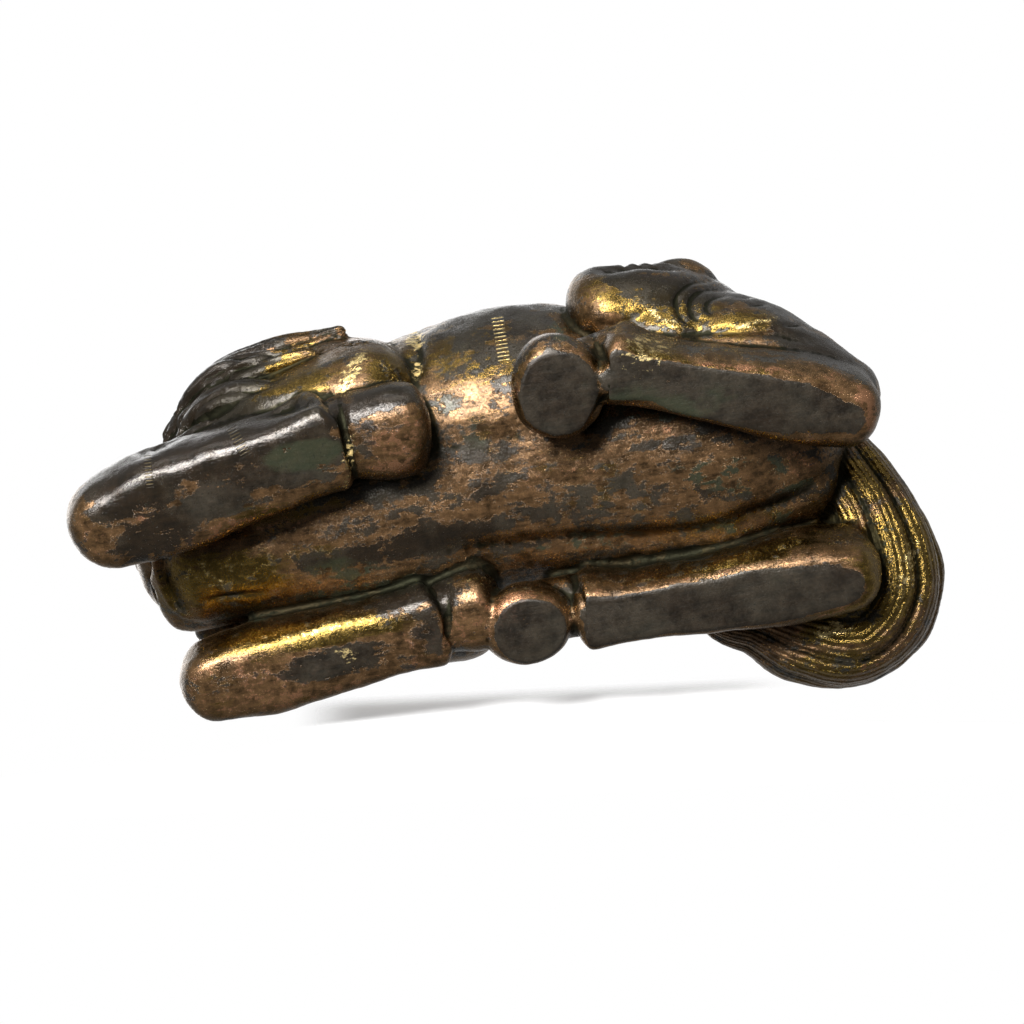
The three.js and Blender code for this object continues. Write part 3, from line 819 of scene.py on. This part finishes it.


# Patches of colour on the side that the camera sees: right of and above
# the middle of the view in mm, radii, turn in degrees and strength

patches = {
    "gold": [
        (-28, 15, 8, 4, 25, 0.9), (17, 25.3, 9, 3, -15, 1), (28, 22.8, 6, 1.6, 10, 0.9), (-34.5, -8.4, 8.5, 4, 5, 1),
        (-24.2, -14.8, 12, 2.2, 8, 1), (-5, 19.6, 8, 4.6, -10, 0.7), (46.6, -5.8, 5.5, 9.5, -20, 1),
        (41, -13.4, 6, 2.6, 10, 1), (38.2, -1.4, 4, 2.4, 30, 0.8), (27.4, -5.2, 13, 1.2, 12, 0.9),
        (42.5, 4.2, 3.4, 4, -30, 0.9), (39, -18.4, 9, 2.6, 10, 0.55), (-14, 17.5, 4, 3, 0, 0.8),
        (-3, 13, 7, 4, 0, 0.2), (-26, -6, 9, 2.6, 6, 0.35), (17, 19.6, 3.4, 1.8, 0, 0.9), (24, 16.8, 12, 1, -4, 0.5),
        (-25.4, 0.4, 9, 1.4, 12, 0.4), (30, -1, 10, 2, 8, 0.4),
    ],
    "gilt": [
        (-19.2, 16.8, 1, 3.4, -28, 1), (-11.6, 20.6, 1.2, 1.3, 35, 1), (-11.4, 17.2, 0.6, 1.5, 0, 0.8),
        (16, 19.7, 3, 2.2, 0, 0.7), (-19.7, -17.2, 1.2, 1, 0, 1), (18, 23.4, 3.4, 0.7, -32, 0.8),
        (28.6, 22.6, 3.4, 0.5, 12, 0.8), (-4.4, -8.4, 3, 0.8, 0, 0.4), (38.6, -14.2, 2.4, 1, 10, 1),
        (-36, -7, 4, 1.6, 5, 0.4), (-23.6, -14, 9, 0.8, 8, 0.5), (-19.6, 6, 0.7, 3.4, -8, 0.7),
        (47.4, -7, 1, 5, -12, 0.6),
    ],
    "copper": [
        (-44.1, -0.4, 2, 1.7, 0, 1), (-36.8, 3.8, 7.4, 1.8, 22, 0.6), (-14.2, 8.6, 4.4, 2.2, 0, 0.5),
        (-13.2, 5.4, 4, 0.8, 0, 1), (34.3, 6, 2.2, 2.2, 0, 1), (6.2, 5, 6.6, 3.4, 0, 0.7),
        (42.4, 12.8, 1.3, 3.4, 10, 0.9), (38.2, 16.8, 5, 0.6, -18, 0.8), (-27, -20, 7, 3, 5, 0.7),
        (-11, -14.8, 4, 3, 0, 0.8), (0.4, -12, 3.4, 3, 0, 0.9), (43.6, -18.4, 4.2, 0.8, 15, 0.8),
        (36, -23, 9, 2.4, 8, 0.9), (-30.6, -1.8, 8, 2, 10, 0.7), (-20.8, -4.8, 8, 1, 8, 0.5),
        (18.4, 9.8, 4.6, 1, -5, 0.8), (38, -12.4, 6, 0.7, 30, 0.7), (22, 17.4, 12, 0.6, -2, 0.8),
        (-2.6, 19, 2.4, 0.7, -8, 0.6), (4.6, 15.6, 4.8, 0.7, 15, 0.9), (2, -9.2, 5, 1, 10, 0.5),
    ],
    "green": [
        (-5.6, 11.6, 5.4, 3.8, 0, 0.35), (16.6, 12.5, 7, 1.4, -8, 1), (-25.4, 6.8, 5, 1.8, 10, 0.9),
        (27.4, 4.6, 9, 2.4, 0, 0.8), (-19.4, -8.2, 8, 3, 8, 0.7), (44.9, -4, 0.8, 3.8, -10, 1),
        (-33.8, -13, 4.6, 0.8, 0, 0.9), (5.8, 21.8, 1.4, 1.4, 0, 0.7), (10, -3.6, 9, 0.9, 8, 1),
        (30, -1.4, 8, 1, 10, 0.8),
    ],
    "dark": [
        (-44.6, 4.4, 7, 4, 38, 1), (-34.6, 8.4, 11, 3.2, 20, 1), (-37, 14.6, 9, 4, 40, 0.9),
        (13.7, 29.6, 6, 1.2, 0, 1), (-43, -3, 6, 2.4, 20, 0.5), (-3, 20.6, 9, 4, -10, 0.3),
        (18, 27, 9, 2.4, -12, 0.5), (-24, 11, 6, 2, 12, 0.8), (-16.4, 9, 3, 3, 0, 0.4), (32, 24.6, 7, 1.2, -18, 0.6),
        (36, 20, 8, 1.6, -25, 0.5), (-2, 24, 6, 1.4, 10, 0.6), (-15.4, 13.6, 4, 1.6, 10, 0.8),
        (-14, -4.4, 12, 1.6, 12, 0.5), (-25.6, 7.6, 5, 2, 15, 0.5), (-11, -11, 5, 2.6, 10, 0.5),
    ],
}


def patchField(spots, points, facing):
    # 1 in the middle of each ellipse, fading at its edge and where the surface turns away
    seen = onView(points)
    field = np.zeros(len(points))
    for right, up, wide, high, turn, strength in spots:
        off = seen - (right, up)
        c, s = cos(radians(turn)), sin(radians(turn))
        far = np.hypot((off[:, 0] * c + off[:, 1] * s) / wide, (off[:, 1] * c - off[:, 0] * s) / high)
        field = np.maximum(field, strength * smooth(1.5, 0.4, far))
    return field * smooth(-0.55, 0.3, facing)


wear = {"nearRounds": 6, "wideRounds": 90, "flat": (0.22, 0.06), "rimLow": (0.1, 0.5), "rimHigh": (2.2, 1.0)}


def addFields(mesh):
    # Where the metal is rubbed, sunk in (for dirt and painted shade), flat or coloured, and how its hairs run
    points = readPoints(mesh) / mm - drawnShift
    normals, edges = readNormals(mesh), readEdges(mesh)
    facing = normals @ viewBack
    near = softened(points, edges, wear["nearRounds"])
    wide = softened(near, edges, wear["wideRounds"])
    z, down = points[:, 2], -normals[:, 2]
    fields = {
        "bulge": ((points - near) * normals).sum(1),
        "swell": ((points - wide) * normals).sum(1),
        "flat": smooth(*wear["flat"], z),
        "rim": smooth(*wear["rimLow"], z) * smooth(*wear["rimHigh"], z) * smooth(0.05, 0.4, down),
        "facing": facing,
    }
    for kind, spots in patches.items():
        fields[kind] = patchField(spots, points, facing)
    tailPhase, tailShown, _ = tailStrands(points)
    manePhase, maneShown, _ = maneStrands(points)
    fields["strand"] = np.where(tailShown > maneShown, tailPhase, manePhase)
    fields["tailHair"] = tailShown
    fields["maneHair"] = maneShown
    for name, values in fields.items():
        layer = mesh.attributes.new(name, "FLOAT", "POINT")
        layer.data.foreach_set("value", values.astype(np.float32))


def makeCasting(material):
    piece = newObject("beastCasting", makeMesh())
    thinned(piece)
    addFields(piece.data)
    piece.data.materials.clear()
    piece.data.materials.append(material)
    piece.data.name = "beastCasting"
    print("casting made:", len(piece.data.polygons), "faces")
    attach(piece, "root")
    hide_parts("beast")


# Bronze

# The dirt colour is dirt in pits, and dirt with painted shade in hollows and creases
bronze = {
    "black": (0.014, 0.012, 0.009), "umber": (0.066, 0.038, 0.017), "brown": (0.320, 0.178, 0.080),
    "olive": (0.200, 0.130, 0.032), "slate": (0.044, 0.040, 0.030), "greyGreen": (0.038, 0.047, 0.028),
    "copper": (0.46, 0.23, 0.12), "gold": (0.33, 0.215, 0.055), "gilt": (0.82, 0.63, 0.28),
    # The shade colour and its share are painted shade for surfaces turned partly from the view
    "dirtAndShade": (0.022, 0.022, 0.013), "paintedShade": (0.085, 0.054, 0.014), "paintedShadeShare": 0.6,
    "metallic": 0.66, "skinMetallic": 0.3, "ior": 1.6, "roughness": 0.25,
    "pitDepth": 0.06, "hairDepth": 0.2, "strokeDepth": 0.12,
}

# Noises of the surface: turns a mm, detail, roughness, stretch along each axis, shift
surface = {
    "cloud": (0.12, 4, 0.6, (1, 1, 1), 0.0), "mottle": (0.5, 7, 0.68, (1, 1, 1), 7.3),
    "streak": (0.34, 8, 0.7, (1.2, 0.38, 1.2), 5.0), "fleck": (1.3, 5, 0.75, (1, 0.7, 1), 17.0),
    "grain": (3.4, 4, 0.7, (1, 1, 1), 3.1), "brush": (1.6, 5, 0.7, (1, 0.14, 1), 23.0),
}

# Rows of short engraved strokes: the first stroke's place right and up in the view, the row's
# direction in degrees, strokes, spacing, half length, and how gilded they are
ladders = [
    (-1.8, 23.6, -81, 12, 0.48, 0.8, 1.0), (-43.7, 6.7, -84, 9, 0.42, 0.5, 0.15), (-33.6, 10, -60, 9, 0.42, 0.7, 0.1),
]


def ladderRows(right, up):
    cut, gild = 0.0, 0.0
    for x, y, turn, strokes, spacing, half, gilded in ladders:
        c, s = cos(radians(turn)), sin(radians(turn))
        along = (right - x) * c + (up - y) * s
        across = (up - y) * c - (right - x) * s
        inside = along.step(-0.3 * spacing, 0) * (strokes * spacing - along).step(0, 0.3 * spacing)
        stroke = (along * (1 / spacing)).wave().step(0.2, 0.75) * inside * (half - across.size()).step(0, 0.15)
        cut = stroke + cut
        gild = stroke * gilded + gild
    return cut, gild


def makeBronze():
    material, tree, shader = newMaterial("agedBronze")
    spot = tree.spotFrom(drawnShift)
    cloud, mottle, streak, fleck, grain, brush = (tree.noise(spot, *values) - 0.5 for values in surface.values())
    bulge, swell, flat, rim, seen = (tree.field(name) for name in ("bulge", "swell", "flat", "rim", "facing"))
    gold, copper, green, dark, gilt = (tree.field(name) for name in ("gold", "copper", "green", "dark", "gilt"))
    tailHair, maneHair = tree.field("tailHair"), tree.field("maneHair")

    # Relief: hairs, engraved strokes and pits
    phase = tree.field("strand") + mottle * 0.6 * tailHair
    hair = (phase.wave() * 0.5 + 0.5) * (tailHair * 0.9 + maneHair * 0.7) * (0.75 + mottle * 2)
    cut, gild = ladderRows(tree.dot(spot, viewRight), tree.dot(spot, viewUp))
    facing = seen.step(0, 0.2)
    cut, gild = cut * facing, gild * facing * (0.7 + fleck * 2)
    pits = (grain + mottle * 0.5).step(0.13, 0.2)

    # Brown metal, olive and gold where it was gilded, copper where it is rubbed bare, then painted shade, a dark olive,
    # where the surface turns partly from the view
    rubbed = (bulge * 9 + swell * 0.5 + mottle * 1.4).step(0.12, 0.8)
    # Hollows and creases: dirt there, and painted shade that stands in for occlusion
    hollowDirtAndShade = (bulge * -9 - swell * 0.5 + mottle + hair * tailHair * 0.3).step(0.15, 0.95)
    colour = tree.mix((mottle * 3 + brush * 2 + 0.5).clamped(), bronze["umber"], bronze["brown"])
    gold = gold + (1 - seen.step(-0.5, 0.3)) * (cloud * 3 + 0.45).clamped() * 0.8
    goldShare = (gold * 0.8 + streak * 1.6 + brush * 1.6 + cloud * 1.5 - 0.12 - flat).step(0.0, 0.55)
    colour = tree.mix(goldShare, colour, bronze["olive"])
    brightGold = (gold * 0.7 + fleck * 2.4 + brush * 2 + rubbed * 0.25 - 0.6 - flat).step(0, 0.5)
    colour = tree.mix(brightGold, colour, bronze["gold"])
    copperShare = (copper * 0.62 + fleck * 3 + mottle * 1.4 + rim * 0.36 + rubbed * 0.1
                   - 0.6 - gold * 0.2 - dark * 0.5).step(0, 0.3)
    colour = tree.mix(copperShare, colour, bronze["copper"])
    # Painted shade: surfaces turned partly away from the view are darkened towards the shade colour
    paintedShade = seen.step(-0.1, 0.3) * (1 - seen.step(0.35, 0.95))
    colour = tree.mix(paintedShade * bronze["paintedShadeShare"], colour, bronze["paintedShade"])

    # The dark skin over it, worn off in streaks and blots, then dirt and painted shade in hollows and creases, gilt
    # strokes and dirt in pits
    skin = (streak * 3 + mottle * 2.4 + fleck * 1.4 + dark * 1.5 + flat * 1.1 - gold * 0.25 - copper * 0.3
            - rubbed * 0.2 + cloud * 1.2 - rim * 0.25 + 0.05).step(0, 0.16)
    skinColour = tree.mix((cloud * 4 + mottle * 2 + 0.45 - dark * 0.9).clamped(), bronze["black"], bronze["slate"])
    skinColour = tree.mix((green * 1.4 + cloud * 2 + streak * 1.5 - 0.35).step(0, 0.6), skinColour, bronze["greyGreen"])
    colour = tree.mix(skin * 0.93, colour, skinColour)
    colour = tree.mix(hollowDirtAndShade * 0.92, colour, bronze["dirtAndShade"])
    giltShare = ((gilt * 0.7 + fleck * 3 + brush - 0.45).step(0, 0.25) * gilt.step(0.05, 0.3)
                 + (fleck * 1.5 + grain + gold * 0.06).step(0.46, 0.52) + gild).clamped()
    colour = tree.mix(giltShare, colour, bronze["gilt"])
    colour = tree.mix(pits * 0.7, colour, bronze["dirtAndShade"])

    bare = (goldShare * 0.3 + giltShare * 0.6 + copperShare * 0.1) * (1 - skin * 0.7)
    # Hollows and surfaces turned partly from the view get more metal, so their dark colours lose their sheen there:
    # painted shade
    metal = bare + bronze["metallic"] + hollowDirtAndShade * 0.7 + paintedShade * 0.3 - skin * bronze["skinMetallic"]
    rough = (bronze["roughness"] + (grain * 0.6 + mottle * 0.35 + fleck * 0.3) * (1 - dark * 0.5)
             + hollowDirtAndShade * 0.35 - dark * 0.05 + flat * 0.16)
    relief = (mottle * 0.1 + (grain * 0.05 + fleck * 0.05) * (1 - dark * 0.6) + brush * 0.04 + skin * 0.02
              - pits * bronze["pitDepth"] + hair * bronze["hairDepth"] - cut * bronze["strokeDepth"])
    bump = tree.add("ShaderNodeBump", None, {"Height": relief, "Distance": mm, "Strength": 1.0})
    tree.fill(shader, {"Base Color": colour, "Metallic": metal.clamped(), "Roughness": rough.clamped(),
                       "IOR": bronze["ior"], "Normal": bump.outputs[0]})
    return material


bronzeMaterial = makeBronze()
print("bronze made")

makeTrunk()
for leg in foreLegs:
    makeForeLeg(leg)
for leg in hindLegs:
    makeHindLeg(leg)
makeHead()
makeMane()
makeTail()
makeSpine(bronzeMaterial)
makeCasting(bronzeMaterial)


# The stage: surfaces that show to the camera alone, and from their upper side alone

floor = {"half": 1.2, "tone": 0.82, "glow": 0.26, "drop": 0.0002, "fadeFrom": 0.4, "fadeTo": 1.0}  # m

# The white sheet that the figure's right side rests on in the view, in mm from the middle of the
# view: how far below it the sheet is, its tilts in degrees, and how far it reaches
sheet = {"up": -24.6, "back": -14.5, "lean": 11.0, "turn": 2.8, "behind": -15.0, "front": 45.0, "middle": 4.0,
         "halfBehind": 31.0, "halfFront": 75.0, "fade": 9.0, "tone": 0.9, "glow": 0.36}
stageRoughness = 0.8


def makeStage(name, corners, look, shownWhere):
    material, tree, shader = newMaterial("pale" + name.capitalize())
    tree.fill(shader, {"Base Color": (*[look["tone"]] * 3, 1), "Roughness": stageRoughness,
                       "Emission Color": (1, 1, 1, 1), "Emission Strength": look["glow"]})
    above = 1 - tree.value(tree.add("ShaderNodeNewGeometry"), "Backfacing")
    camera = tree.value(tree.add("ShaderNodeLightPath"), "Is Camera Ray")
    clear = tree.add("ShaderNodeBsdfTransparent")
    mix = tree.add("ShaderNodeMixShader", None, {
        0: shownWhere(tree) * above * camera, 1: clear.outputs[0], 2: shader.outputs[0]})
    tree.fill(tree.nodes["Material Output"], {"Surface": mix.outputs[0]})
    plane = bpy.data.meshes.new(name)
    plane.from_pydata(corners, [], [(0, 1, 2, 3)])
    plane.materials.append(material)
    newObject(name, plane)


def makeFloor():
    half, z = floor["half"], -floor["drop"]

    def shownWhere(tree):
        far = tree.value(tree.vector("LENGTH", tree.add("ShaderNodeTexCoord").outputs["Object"]), "Value")
        return 1 - far.step(floor["fadeFrom"], floor["fadeTo"])

    makeStage("floor", [(-half, -half, z), (half, -half, z), (half, half, z), (-half, half, z)], floor, shownWhere)


def makeSheet():
    turn, lean = radians(sheet["turn"]), radians(sheet["lean"])
    along = viewRight * cos(turn) + viewUp * sin(turn)
    above = viewUp * cos(turn) - viewRight * sin(turn)
    ahead = viewBack * cos(lean) - above * sin(lean)
    middle = drawnShift + along * sheet["middle"] + viewUp * sheet["up"] + viewBack * sheet["back"]
    behind, front, half, fade = sheet["behind"], sheet["front"], sheet["halfFront"], sheet["fade"]
    corners = [middle + along * x + ahead * y
               for x, y in [(-half, front), (half, front), (half, behind), (-half, behind)]]

    def shownWhere(tree):
        spot = tree.spotFrom(middle)
        x, y = tree.dot(spot, along), tree.dot(spot, ahead)
        reach = sheet["halfBehind"] + y.step(fade, 3 * fade) * (half - sheet["halfBehind"])
        return (reach - x.size()).step(0, fade) * y.step(behind, behind + fade) * (front - y).step(0, fade)

    makeStage("sheet", [tuple(c * mm) for c in corners], sheet, shownWhere)


# Light: a dim grey room, white to the camera, and three soft lamps

studio = {"front": 0.06, "side": 0.2, "behind": 0.5, "above": 0.1}
# Where a lamp stands to the right of, above and in front of the figure's middle in the view
lamps = {
    "keySoftbox": {"right": -0.12, "up": 0.6, "front": 0.12, "size": (0.5, 0.05), "power": 0.85},
    "cameraFill": {"right": -0.3, "up": 0.32, "front": 0.7, "size": (0.34, 0.22), "power": 15},
}
overhead = {"spot": (-0.15, -0.2, 0.8), "target": (0, 0, 0.02), "size": (0.6, 0.6), "power": 2.3}


def areaLight(name, spot, target, size, power):
    data = bpy.data.lights.new(name, "AREA")
    data.shape = "RECTANGLE"
    data.size, data.size_y = size
    data.energy = power
    light = newObject(name, data)
    spot, target = Vector(spot), Vector(target)
    light.matrix_world = Matrix.Translation(spot) @ (spot - target).to_track_quat("Z", "Y").to_matrix().to_4x4()


def makeWorld():
    # Dark where the camera stands, paler behind and above the figure
    world = bpy.data.worlds.new("studio")
    world.use_nodes = True
    bpy.context.scene.world = world
    tree = Tree(world.node_tree)
    spot = tree.add("ShaderNodeTexCoord").outputs["Generated"]
    facing = tree.dot(spot, viewBack * -0.5 + viewUp * studio["above"]) + 0.5
    greys = [(share, (*[studio[part]] * 3, 1)) for share, part in [(0.1, "front"), (0.5, "side"), (0.95, "behind")]]
    glow = tree.add("ShaderNodeValToRGB", {"stops": greys}, {0: facing})
    fill = tree.nodes["Background"]
    tree.fill(fill, {"Color": glow.outputs[0]})
    white = tree.add("ShaderNodeBackground", None, {"Color": (1, 1, 1, 1)})
    camera = tree.value(tree.add("ShaderNodeLightPath"), "Is Camera Ray")
    mix = tree.add("ShaderNodeMixShader", None, {0: camera, 1: fill.outputs[0], 2: white.outputs[0]})
    tree.fill(tree.nodes["World Output"], {"Surface": mix.outputs[0]})
    bpy.context.scene.view_settings.view_transform = "Standard"


makeFloor()
makeSheet()
makeWorld()
centre = drawnShift * mm
for name, lamp in lamps.items():
    spot = centre + viewRight * lamp["right"] + viewUp * lamp["up"] + viewBack * lamp["front"]
    areaLight(name, spot, centre, lamp["size"], lamp["power"])
areaLight("overhead", **overhead)
print("stage and lights set")
